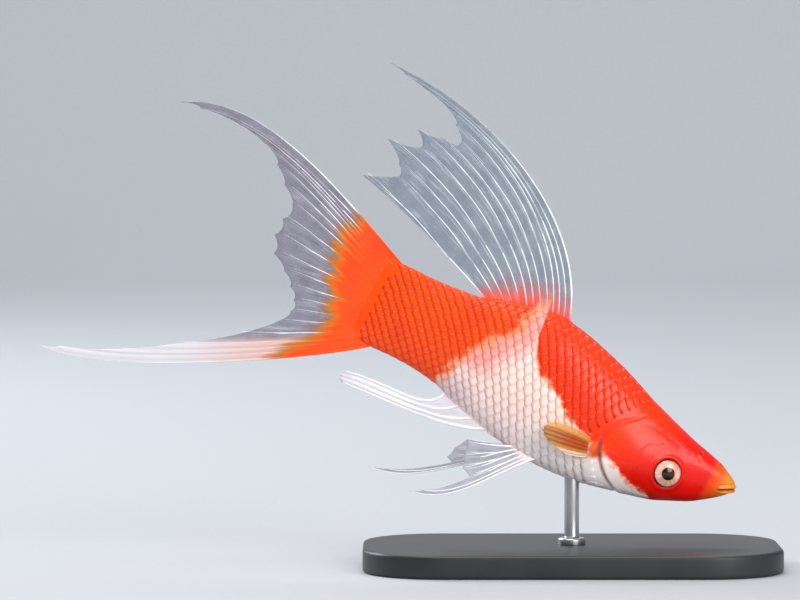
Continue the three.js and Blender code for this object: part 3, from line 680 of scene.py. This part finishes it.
# The fins: films of clear skin spread on bony rays, which fork twice and are jointed like fine cane.
# The model's films are cast clear resin with the rays moulded in, washed with colour at their roots.
GATHER = 1.6  # how soon the rays leave their even spacing at the root for their own places at the margin
FILM_THICKNESS, FILM_STEPS = 0.09, 6  # six steps from one ray to the next
CANE_SIDES = 6
FORKS, FORK_SPREAD, FORK_LAP = (0.42, 0.72), (0.17, 0.085), 0.035  # where a ray forks, how wide, and the lap there


def bezier(points, t):
    p, t = np.asarray(points, float), np.asarray(t, float)[..., None]
    return (1 - t) ** 3 * p[0] + 3 * (1 - t) ** 2 * t * p[1] + 3 * (1 - t) * t * t * p[2] + t**3 * p[3]


class Fin:
    """A fin spread between its leading and trailing edges. Places in it are (ray, reach) pairs."""

    def __init__(self, lead, trail, tips, notch=0.975, wave=0.2, side=1):
        self.lead, self.trail = [np.array([(u, side * w, v) for u, w, v in line]) for line in (lead, trail)]
        self.across = np.array([across for across, _ in tips])
        self.reach = np.array([reach for _, reach in tips])
        self.last, self.notch, self.wave = len(tips) - 1, notch, wave

    def margin(self, ray):
        """How far the film reaches at any place between two rays."""
        i = np.clip(np.floor(ray).astype(int), 0, self.last - 1)
        share = ray - i
        a, b = self.reach[i], self.reach[i + 1]
        straight = a * (1 - share) + b * share
        return straight * (1 - (1 - self.notch) * np.sin(np.pi * share) ** 0.8)

    def place(self, ray, reach):
        ray, reach = np.broadcast_arrays(np.asarray(ray, float), np.asarray(reach, float))
        i = np.clip(np.floor(ray).astype(int), 0, self.last - 1)
        share = ray - i
        across = 0
        for k, weight in ((i, 1 - share), (i + 1, share)):
            left = np.clip(1 - reach / self.reach[k], 0, 1) ** GATHER
            across = across + weight * (self.across[k] + (k / self.last - self.across[k]) * left)
        front, rear = bezier(self.lead, reach), bezier(self.trail, reach)
        place = front + (rear - front) * across[..., None]
        billow = self.wave * np.sin(5.2 * reach + 4.0 * across) * ease(0.1, 0.5, reach)
        place[..., 1] += billow * np.minimum(1, np.linalg.norm(rear - front, axis=-1) / 8)
        return place

    def facing(self, ray, reach):
        """The film's upright direction, straight out of its face."""
        along = self.place(ray, reach + 0.01) - self.place(ray, reach - 0.01)
        inner = np.clip(np.asarray(ray, float), 0.1, self.last - 0.1)
        over = self.place(inner + 0.1, reach) - self.place(inner - 0.1, reach)
        out = np.cross(over, along)
        return out / np.maximum(np.linalg.norm(out, axis=-1), 1e-9)[..., None]


def lay_on_fin(fin, uv, verts, places, ray, reach):
    """Sets a fresh grid on a fin, with how far across and along it each vertex lies. Gives back its faces."""
    marks = {}
    for vert, place, q, r in zip(verts, in_place(*places.T), ray, reach):
        vert.co = place
        marks[vert] = (q / fin.last, r)
    faces = {face for vert in verts for face in vert.link_faces}
    for face in faces:
        for loop in face.loops:
            loop[uv].uv = marks[loop.vert]
    return faces


def add_film(bm, fin, uv, rows):
    grid = bmesh.ops.create_grid(bm, x_segments=fin.last * FILM_STEPS, y_segments=rows, size=1)["verts"]
    flat = np.array([vert.co[:2] for vert in grid])
    ray, along = (flat[:, 0] + 1) / 2 * fin.last, (flat[:, 1] + 1) / 2
    reach = fin.margin(ray) * along
    ruffle = 0.07 * np.sin(2 * np.pi * ray) * ease(0.05, 0.3, reach)
    lay_on_fin(fin, uv, grid, fin.place(ray, reach) + fin.facing(ray, reach) * ruffle[:, None], ray, reach)
    bmesh.ops.recalc_face_normals(bm, faces=bm.faces)
    bmesh.ops.solidify(bm, geom=bm.faces[:], thickness=FILM_THICKNESS * MM)


def add_cane(bm, fin, uv, ray, start, end, radius, tip_radius, steps):
    """One length of a ray. ray gives its place across the fin for each share of its length."""
    cane = bmesh.ops.create_grid(bm, x_segments=steps, y_segments=CANE_SIDES, size=1)["verts"]
    flat = np.array([vert.co[:2] for vert in cane])
    along, turn = (flat[:, 0] + 1) / 2, (flat[:, 1] + 1) * np.pi
    reach = start + (end - start) * along
    at = ray(along)
    out = fin.facing(at, reach)
    side = np.cross(out, fin.place(at, reach + 0.005) - fin.place(at, reach - 0.005))
    side /= np.maximum(np.linalg.norm(side, axis=1), 1e-9)[:, None]
    thick = radius + (tip_radius - radius) * along
    thick = thick * np.sqrt(np.clip(1 - (2 * along - 1) ** 40, 0, 1))
    round_it = (out * np.cos(turn)[:, None] + side * np.sin(turn)[:, None]) * thick[:, None]
    for face in lay_on_fin(fin, uv, cane, fin.place(at, reach) + round_it, at, reach):
        face.material_index = 1
    bmesh.ops.remove_doubles(bm, verts=cane, dist=1e-7)


def swing(start, end, by):
    """A ray's place across its fin at each share of its length, moving from start to end by the given share."""
    return lambda along: start + (end - start) * ease(0, by, along)


def add_rays(bm, fin, uv, radius, forked):
    """A plain ray is one length. A forked one is a stem, two branches and four twigs that lap at the forks."""
    low, high = 0.02, fin.last - 0.02
    for k, long in enumerate(fin.reach):
        stem = np.clip(k, low, high)
        if k not in forked:
            stout = 1.35 if k in (0, fin.last) else 1.0
            add_cane(bm, fin, uv, swing(stem, stem, 1), 0, long, radius * stout, 0.045, 40)
            continue
        first, second = FORKS[0] * long, FORKS[1] * long
        add_cane(bm, fin, uv, swing(stem, stem, 1), 0, first, radius, radius * 0.8, 18)
        for left in (-1, 1):
            branch = np.clip(stem + left * FORK_SPREAD[0], low, high)
            inner, outer = first - FORK_LAP, second - FORK_LAP
            add_cane(bm, fin, uv, swing(stem, branch, 0.8), inner, second, radius * 0.66, radius * 0.5, 12)
            for twig, share in ((-1, 0.975), (1, 0.95)):
                tip = np.clip(branch + twig * FORK_SPREAD[1], low, high)
                add_cane(bm, fin, uv, swing(branch, tip, 0.9), outer, long * share, radius * 0.42, 0.03, 14)


def fin_finish(name, film, bone, alpha, fade, border=None, sword=None, band=None):
    """Materials for a fin's film and its rays. The fish's own colour runs into both near the root."""
    made = []
    for kind, clear in (("film", film), ("ray", bone)):
        material, bench, shader = new_material(f"{name} {kind}")
        coords = bench.node("TexCoord").outputs
        tone = bench.node("Group", {"node_tree": markings}, Place=coords["Object"]).outputs["Colour"]
        across, along, _ = bench.node("SeparateXYZ", Vector=coords["UV"]).outputs
        on_fin = place_on_fish(bench, coords["Object"])
        back, _, up = bench.node("SeparateXYZ", Vector=on_fin).outputs
        stretched = {"X": bench.times(across, 46.0), "Y": bench.times(along, 5.0)}
        streak = bench.noise(bench.node("CombineXYZ", **stretched).outputs[0], 1.0, 3.0, 0.6)
        drift = bench.math("SUBTRACT", streak, 0.5)
        if border:
            # The flesh's colour ends on a drawn line, with a fringe inside it
            line = bench.curve(up, -40, 30, 50, 80, border)
            inside = bench.plus(bench.math("SUBTRACT", line, back), bench.times(drift, 7.0))
            flesh = bench.between(inside, -1.2, 1.0)
            tone = bench.tint(tone, "A8761A", bench.between(inside, 2.6, 0.4), 0.85)
        else:
            # It ends a share of the way along the rays, sooner on the first ones
            ahead = bench.math("POWER", bench.math("SUBTRACT", 1.0, across, clamp=True), 1.5)
            beyond = bench.plus(along, bench.times(ahead, fade[2]))
            beyond = bench.plus(beyond, bench.times(drift, fade[1] * 0.9))
            flesh = bench.between(beyond, fade[1], fade[0])
        far = bench.ramp(bench.noise(on_fin, 0.5, 3.0), 0.35, 0.7, *clear)
        if kind == "film":
            far = bench.tint(far, bone[1], bench.between(streak, 0.52, 0.75), 0.45)
        solid = flesh
        if sword:
            blade = bench.between(across, *sword)
            pale = bench.ramp(back, 84, 70, "DAD9DF", "E2B9B2")
            far = bench.mix(bench.times(blade, 0.9), far, pale)
            solid = bench.math("MAXIMUM", flesh, bench.times(blade, 0.85))
        # The middle of the fin is turned dark orange-brown, partly its own colour and partly painted shade
        if band:
            dark = bench.times(bench.between(across, 0.16, 0.3), bench.between(across, 0.86, 0.66))
            far = bench.mix(bench.times(dark, 0.9), far, bench.ramp(along, 0.5, 1, *band))
            far = bench.tint(far, "F6D9BC", bench.between(across, 0.74, 0.92))
            solid = bench.math("MAXIMUM", flesh, bench.times(dark, 0.75))
            tone = bench.tint(tone, band[0], 0.75)
        bench.feed(shader, Base_Color=bench.mix(flesh, far, tone))
        if kind == "film":
            thin = bench.plus(bench.times(streak, 0.25), alpha - 0.12)
            bench.feed(shader, Alpha=bench.spread(solid, thin, 1.0))
            wet(shader, 0.3, 0.4, 0.15)
        else:
            joints = bench.node("TexWave", {"bands_direction": "Y"}, Vector=coords["UV"], Scale=9.0)
            bench.feed(shader, Normal=bench.bump(joints.outputs[1], 0.3, 0.00003))
            wet(shader, 0.35, 0.35, 0.15)
        made.append(material)
    return made


def make_fin(name, fin, finishes, nodes, radius, forked, rows=44):
    bm = bmesh.new()
    uv = bm.loops.layers.uv.new("along the rays")
    add_film(bm, fin, uv, rows)
    add_rays(bm, fin, uv, radius, forked)
    bmesh.ops.recalc_face_normals(bm, faces=bm.faces)
    piece = new_object(name, bm, finishes)
    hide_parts(*nodes)
    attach(piece, "root")


def flat_line(*points):
    return [(u, 0, v) for u, v in points]


# The tall dorsal fin: 13 rays on the highest part of the back, the first ones running out into a long filament.
# Its film is clear smoky grey and its rays are white. Orange and red run up between the rays from the back.
dorsal = Fin(
    flat_line((32.7, 8.9), (36.8, 25.5), (58.8, 33.3), (74.3, 32.2)),
    flat_line((43.2, 6.4), (48.2, 9.2), (64.5, 14.4), (70.3, 15.5)),
    [(0, 1), (0.035, 0.95), (0.055, 0.88), (0.08, 0.79), (0.155, 0.735), (0.26, 0.69), (0.32, 0.75), (0.385, 0.83),
     (0.5, 0.79), (0.6, 0.925), (0.72, 0.825), (0.82, 0.81), (1, 1)],
    wave=0.22,
)
dorsal_finish = fin_finish("dorsal", ("7F8C98", "6F7A8A"), ("F4F6F8", "DDE3EA"), 0.5, (0.08, 0.26, 0.12))
make_fin("dorsal_fin_spread", dorsal, dorsal_finish, ["dorsal_fin"], 0.14, set(range(2, 13)), 56)


# The tail fin: 21 rays on the end of the flesh, long at both edges, with the lower ones bound into a sword.
# The flesh's orange runs out over its root to an olive fringe. The sword is opaque and chalk white.
tail = Fin(
    flat_line((57.4, 5.8), (68.9, 10.2), (88.4, 20.3), (99.4, 12.7)),
    flat_line((56.8, -5.6), (62.2, -11), (94.2, -30.8), (101.9, -29.1)),
    [(0, 1), (0.025, 0.91), (0.033, 0.815), (0.04, 0.72), (0.06, 0.62), (0.095, 0.58), (0.148, 0.53), (0.2, 0.48),
     (0.28, 0.487), (0.36, 0.487), (0.44, 0.465), (0.505, 0.415), (0.575, 0.38), (0.645, 0.355), (0.71, 0.35),
     (0.78, 0.375), (0.865, 0.465), (0.918, 0.6), (0.955, 0.745), (0.973, 0.9), (1, 1)],
    wave=0.25,
)
TAIL_BORDER = [
    (-40, 66), (-20, 71.5), (-12.7, 69.2), (-8.5, 66.3), (-4.9, 65.9), (0.4, 68.2), (4.8, 69.4), (9.1, 68.5),
    (14, 67.5), (30, 66),
]
tail_finish = fin_finish(
    "tail", ("7C788A", "6C6679"), ("F1EFF4", "D9D3DE"), 0.5, (0.1, 0.2), TAIL_BORDER, (0.79, 0.85),
)
tail_nodes = ["tail_fin_upper_lobe", "tail_fin_middle", "tail_fin_sword"]
make_fin("tail_fin_spread", tail, tail_finish, tail_nodes, 0.15, set(range(2, 19)), 56)


# The anal fin: in the male a narrow rod of thickened rays, pale and opaque, trailing under the tail stalk.
# It is cast like the other fins and set in the fleshy ridge behind the vent.
anal = Fin(
    flat_line((35.4, -8.6), (40.5, -12.4), (50, -12.3), (59.6, -13.2)),
    flat_line((44.4, -6.2), (44.8, -12.4), (52, -9.5), (59.7, -11.6)),
    [(0, 0.985), (0.3, 1), (0.7, 1), (1, 0.985)], notch=1, wave=0.1,
)
anal_finish = fin_finish("anal", ("D3D1DA", "E0DDE6"), ("F6F4F8", "E4E0EA"), 0.85, (0.05, 0.16, 0.0))
make_fin("anal_fin_spread", anal, anal_finish, ["anal_fin"], 0.24, {1, 2})


# The pelvic fins: a small pair under the belly, each with a drawn-out second ray, grey white and half clear.
# Each is cast with its rays in it and glued to the keel of the belly.
PELVIC_TRAIL = [(31.6, 1, -9.6), (33.6, 1.5, -10.6), (36, 2, -11.5), (38.4, 2.4, -12.2)]
PELVIC_TIPS = [(0, 1), (0.07, 0.92), (0.28, 0.58), (0.52, 0.74), (0.76, 0.86), (1, 1)]
pelvic_finish = fin_finish("pelvic", ("9C9CAB", "B0AEBC"), ("F4F3F7", "DEDBE4"), 0.55, (0.05, 0.16, 0.0))
for side, name, lead in (
    (1, "left", [(28, 1.2, -9.6), (36.5, 2.6, -12.9), (41, 3.6, -22.1), (49.7, 4.2, -22.8)]),
    (-1, "right", [(28, 1.2, -9.6), (33.1, 3.4, -14.4), (36.1, 4.6, -21.9), (43, 4.8, -22.5)]),
):
    pelvic = Fin(lead, PELVIC_TRAIL, PELVIC_TIPS, wave=0.12, side=side)
    make_fin(
        f"pelvic_{name}_spread", pelvic, pelvic_finish, [f"pelvic_fin_{name}"], 0.16, {2, 3, 4},
    )


# The pectoral fins: short rounded fans behind the gill covers, laid back on the flanks, clear amber brown.
# Each is cast with its rays in it, darker along its middle, where orange-brown colour and painted shade are laid on,
# and set in the fleshy shoulder of the skin.
PECTORAL_LEAD = [(21.6, 4, -3.7), (23.6, 5.5, -2.9), (27, 6.6, -3), (30.6, 7.3, -3.9)]
PECTORAL_TRAIL = [(21.2, 3.8, -5.7), (22.6, 5.2, -6.6), (25, 6.5, -7.2), (28.4, 7.5, -7.4)]
PECTORAL_TIPS = [
    (0, 0.8), (0.12, 0.92), (0.27, 0.99), (0.43, 1.02), (0.59, 1), (0.74, 0.93), (0.88, 0.81), (1, 0.65),
]
pectoral_finish = fin_finish(
    "pectoral", ("F0B052", "E8A040"), ("E79A44", "EFAE5E"), 0.42, (0.05, 0.3, 0.0), band=("A83A06", "A0682A"),
)
for side, name in ((1, "left"), (-1, "right")):
    pectoral = Fin(PECTORAL_LEAD, PECTORAL_TRAIL, PECTORAL_TIPS, wave=0.08, side=side)
    make_fin(
        f"pectoral_{name}_spread", pectoral, pectoral_finish, [f"pectoral_fin_{name}"], 0.11,
        set(range(1, 7)), 30,
    )


# The stand base: a slab of steel milled with round corners and a fine bevel, painted satin black.
# The rod's foot is let into its top face.
BASE_LENGTH, BASE_WIDTH, BASE_THICKNESS, BASE_CORNER, BASE_BEVEL = 0.062, 0.036, 0.0035, 0.012, 0.0006
bm = bmesh.new()
bmesh.ops.create_cube(bm, size=1)
bmesh.ops.scale(bm, vec=(BASE_LENGTH, BASE_WIDTH, BASE_THICKNESS), verts=bm.verts)
bmesh.ops.translate(bm, vec=(0, 0, BASE_THICKNESS / 2), verts=bm.verts)
corners = [e for e in bm.edges if abs(e.verts[0].co.z - e.verts[1].co.z) > BASE_THICKNESS / 2]
bmesh.ops.bevel(
    bm, geom=corners, offset=BASE_CORNER, segments=24, profile=0.5, affect="EDGES", material=-1, offset_type="OFFSET",
)
bm.normal_update()
rims = [
    e for e in bm.edges
    if len(e.link_faces) == 2 and abs(abs(e.link_faces[0].normal.z) - abs(e.link_faces[1].normal.z)) > 0.5
]
bmesh.ops.bevel(bm, geom=rims, offset=BASE_BEVEL, segments=5, profile=0.5, affect="EDGES", material=-1)
bmesh.ops.recalc_face_normals(bm, faces=bm.faces)
paint, bench, shader = new_material("satin black paint")
here = bench.node("TexCoord").outputs["Object"]
worn = bench.noise(here, 60.0, 5.0, 0.6)
peel = bench.bump(bench.noise(here, 1400.0, 3.0), 0.15, 0.00002)
colour = bench.ramp(worn, 0.3, 0.75, "1E1F22", "2A2B2E")
bench.feed(shader, Base_Color=colour, Roughness=bench.spread(worn, 0.36, 0.52), Normal=peel)
base = new_object("base_slab", bm, [paint])
base.data.polygons.foreach_set("use_smooth", np.array([abs(p.normal.z) < 0.999 for p in base.data.polygons]))
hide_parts("stand_base")
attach(base, "root")


# The stand rod: a straight brushed steel pin set in the base, with a small turned collar at its foot.
# Its upper end goes into the belly and carries the fish.
ROD_RADIUS, ROD_FOOT, ROD_TOP, ROD_CHAMFER = 0.0011, 0.0016, 0.0158, 0.0002
COLLAR_RADIUS, COLLAR_FOOT, COLLAR_TOP = 0.00205, 0.0034, 0.0045
COLLAR_EDGE, COLLAR_CURVE = 0.00015, 0.0002
bm = bmesh.new()
profile = [
    (0, ROD_FOOT), (ROD_RADIUS, ROD_FOOT), (ROD_RADIUS, COLLAR_FOOT), (COLLAR_RADIUS - COLLAR_EDGE, COLLAR_FOOT),
    (COLLAR_RADIUS, COLLAR_FOOT + COLLAR_EDGE), (COLLAR_RADIUS, COLLAR_TOP - COLLAR_CURVE),
    (COLLAR_RADIUS - COLLAR_EDGE, COLLAR_TOP), (ROD_RADIUS + 0.00025, COLLAR_TOP),
    (ROD_RADIUS, COLLAR_TOP + COLLAR_CURVE), (ROD_RADIUS, 0.009),
    (ROD_RADIUS, ROD_TOP - ROD_CHAMFER), (ROD_RADIUS - ROD_CHAMFER, ROD_TOP), (0, ROD_TOP),
]
points = [bm.verts.new((r, 0, z)) for r, z in profile]
edges = [bm.edges.new(pair) for pair in zip(points[:-1], points[1:])]
bmesh.ops.spin(
    bm, geom=points + edges, cent=(0, 0, 0), axis=(0, 0, 1), angle=2 * math.pi, steps=64, use_merge=True,
)
bmesh.ops.remove_doubles(bm, verts=bm.verts, dist=1e-7)
bmesh.ops.recalc_face_normals(bm, faces=bm.faces)
steel, bench, shader = new_material("brushed steel")
here = bench.node("TexCoord").outputs["Object"]
drawn = bench.node("Mapping", Vector=here, Scale=(900, 900, 12000)).outputs[0]
scratch = bench.noise(drawn, 1.0, 4.0)
colour = bench.mix(scratch, ink("A9ABAE"), ink("C9CBCD"))
bench.feed(shader, Base_Color=colour, Roughness=bench.spread(scratch, 0.22, 0.42))
shader.inputs["Metallic"].default_value = 1
rod = new_object("rod_and_collar", bm, [steel])
crease = rod.modifiers.new("fine edges", "BEVEL")
crease.width, crease.segments, crease.limit_method, crease.angle_limit = 0.00004, 2, "ANGLE", math.radians(35)
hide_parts("stand_rod")
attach(rod, "root")


# The floor and backdrop: one pale sweep of studio paper. Not part of the model.
# It lies flat under the stand and curves up behind it, so that no edge of it shows.
FRONT, FLAT, BEND, WALL, WIDE = 1.1, 1.1, 0.4, 1.0, 4
bm = bmesh.new()
bmesh.ops.create_grid(bm, x_segments=1, y_segments=40, size=1)
for vert, s, d in zip(bm.verts, *grid_shares(bm)):
    run = d * (FRONT + FLAT + BEND * math.pi / 2 + WALL) - FRONT
    turn = min(max(run - FLAT, 0) / BEND, math.pi / 2)
    rise = max(run - FLAT - BEND * math.pi / 2, 0)
    flat = min(run, FLAT)
    vert.co = ((s - 0.5) * WIDE, flat + BEND * math.sin(turn), BEND * (1 - math.cos(turn)) + rise)
bmesh.ops.recalc_face_normals(bm, faces=bm.faces)
paper, bench, shader = new_material("studio paper")
fibres = bench.noise(bench.node("TexCoord").outputs["Object"], 900.0, 2.0)
bench.feed(shader, Base_Color=bench.mix(fibres, ink("AEB1B6"), ink("B6B9BE")))
shader.inputs["Roughness"].default_value = 0.9
sweep = new_object("studio_sweep", bm, [paper])

# Studio light: soft boxes above, before the right flank, low before the belly, behind the tail and on the backdrop
for name, spot, aim, size, watts, colour in (
    ("over_light", (-0.1, -0.1, 0.75), (-0.02, 0, 0.03), 0.6, 4.2, (1, 0.98, 0.95)),
    ("flank_light", (0.45, -0.7, 0.35), (-0.02, 0, 0.03), 0.5, 4.7, (1, 0.99, 0.97)),
    ("belly_light", (-0.05, -0.7, 0.16), (-0.02, 0, 0.03), 0.28, 2.0, (1, 0.97, 0.94)),
    ("rim_light", (-0.55, 0.45, 0.4), (-0.02, 0, 0.04), 0.35, 4.0, (0.92, 0.96, 1)),
    ("backdrop_light", (0, 1.1, 1.1), (0, 1.35, 0.1), 0.9, 9.0, (0.97, 0.98, 1)),
):
    lamp = bpy.data.lights.new(name, "AREA")
    lamp.size, lamp.energy, lamp.color = size, watts, colour
    light = bpy.data.objects.new(name, lamp)
    light.location = spot
    light.rotation_euler = (Vector(aim) - Vector(spot)).to_track_quat("-Z", "Y").to_euler()
    light.visible_glossy = name != "belly_light"  # the low fill light leaves no highlight of its own
    bpy.context.scene.collection.objects.link(light)
world = bpy.data.worlds.new("studio air")
world.use_nodes = True
world.node_tree.nodes["Background"].inputs[0].default_value = (0.8, 0.85, 0.9, 1)
world.node_tree.nodes["Background"].inputs[1].default_value = 0.35
bpy.context.scene.world = world
bpy.context.scene.view_settings.view_transform = "Standard"

# Camera: the photograph's side view of the right flank, through a long lens
VIEW_WIDTH = 0.1185  # how much of the fish's plane the picture spans
DISTANCE = 0.7
LOOK_AT = Vector((SNOUT.x - 0.0498, 0, SNOUT.z + 0.0276))
ELEVATION = math.radians(2.5)
lens = bpy.data.cameras.new("camera")
lens.sensor_width = 36
lens.lens = 36 * DISTANCE / VIEW_WIDTH
lens.clip_start = 0.01
camera = bpy.data.objects.new("camera", lens)
camera.location = LOOK_AT + DISTANCE * Vector((0, -math.cos(ELEVATION), math.sin(ELEVATION)))
camera.rotation_euler = (LOOK_AT - camera.location).to_track_quat("-Z", "Y").to_euler()
bpy.context.scene.collection.objects.link(camera)
bpy.context.scene.camera = camera
